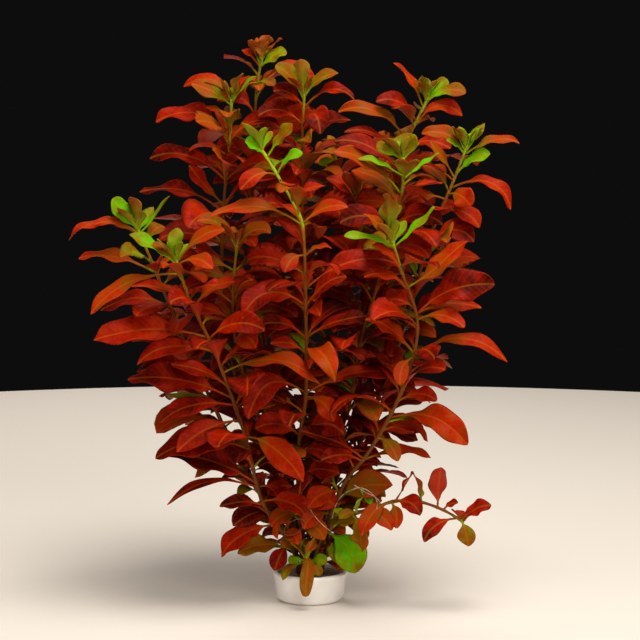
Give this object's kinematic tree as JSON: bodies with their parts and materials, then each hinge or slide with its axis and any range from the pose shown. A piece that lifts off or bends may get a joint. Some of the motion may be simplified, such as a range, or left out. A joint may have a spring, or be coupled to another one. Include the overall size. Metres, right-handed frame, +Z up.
{
  "type": "potted red ludwigia plant",
  "caption": "Bunch of red ludwigia stems with wavy red and olive leaves, growing up and outwards from a foam plug in a small white glazed pot.",
  "frame": {"origin": "middle of the pot's flat underside", "axes": "+Z up along the pot's axis, -Y towards the front, +X to the right seen from the front"},
  "size_m": [0.228, 0.1404, 0.2858],
  "materials": {
    "foam": "grey open foam, matt and damp",
    "glaze": "smooth white glaze, softly glossy",
    "leaf_dark": "old leaf, dark red, satin",
    "leaf_green": "young leaf, bright green, satin",
    "leaf_olive": "half-grown leaf, olive, satin",
    "leaf_orange": "leaf turning orange-red, satin",
    "leaf_red": "full-grown leaf, bright red, satin",
    "stem": "smooth plant stem, yellow-green when young and brown below"
  },
  "bodies": {
    "root": {"leaf_back_1": "leaf_red", "leaf_back_2": "leaf_dark", "leaf_centre_front_1": "leaf_orange", "leaf_centre_front_2": "leaf_red", "leaf_centre_front_3": "leaf_red", "leaf_centre_front_4": "leaf_red", "leaf_centre_front_5": "leaf_orange", "leaf_centre_front_6": "leaf_orange", "leaf_creeping_1": "leaf_red", "leaf_creeping_2": "leaf_red", "leaf_creeping_3": "leaf_red", "leaf_creeping_4": "leaf_olive", "leaf_far_left_1": "leaf_orange", "leaf_far_left_2": "leaf_orange", "leaf_left_back_1": "leaf_red", "leaf_left_back_2": "leaf_red", "leaf_left_back_3": "leaf_red", "leaf_left_back_4": "leaf_dark", "leaf_left_front_1": "leaf_orange", "leaf_left_front_2": "leaf_red", "leaf_left_front_3": "leaf_dark", "leaf_left_front_4": "leaf_dark", "leaf_left_front_5": "leaf_dark", "leaf_left_front_6": "leaf_orange", "leaf_left_front_7": "leaf_orange", "leaf_left_front_8": "leaf_red", "leaf_left_front_9": "leaf_olive", "leaf_middle_1": "leaf_red", "leaf_right_centre_1": "leaf_orange", "leaf_right_front_1": "leaf_green", "leaf_right_front_2": "leaf_orange", "leaf_right_front_3": "leaf_dark", "leaf_right_front_4": "leaf_orange", "leaf_right_front_5": "leaf_orange", "leaf_right_top_1": "leaf_orange", "leaf_right_top_2": "leaf_red", "leaf_right_top_3": "leaf_orange", "leaf_right_upper_1": "leaf_orange", "leaf_right_upper_2": "leaf_red", "leaf_right_upper_3": "leaf_orange", "leaf_right_upper_4": "leaf_dark", "leaf_tall_1": "leaf_olive", "leaf_tall_2": "leaf_red", "leaf_tall_3": "leaf_red", "plug": "foam", "pot": "glaze", "stem_back": "stem", "stem_back_right": "stem", "stem_centre_front": "stem", "stem_creeping": "stem", "stem_far_left": "stem", "stem_inner_left": "stem", "stem_left_back": "stem", "stem_left_front": "stem", "stem_middle": "stem", "stem_right_centre": "stem", "stem_right_front": "stem", "stem_right_top": "stem", "stem_right_upper": "stem", "stem_tall": "stem"}
  },
  "joints": []
}
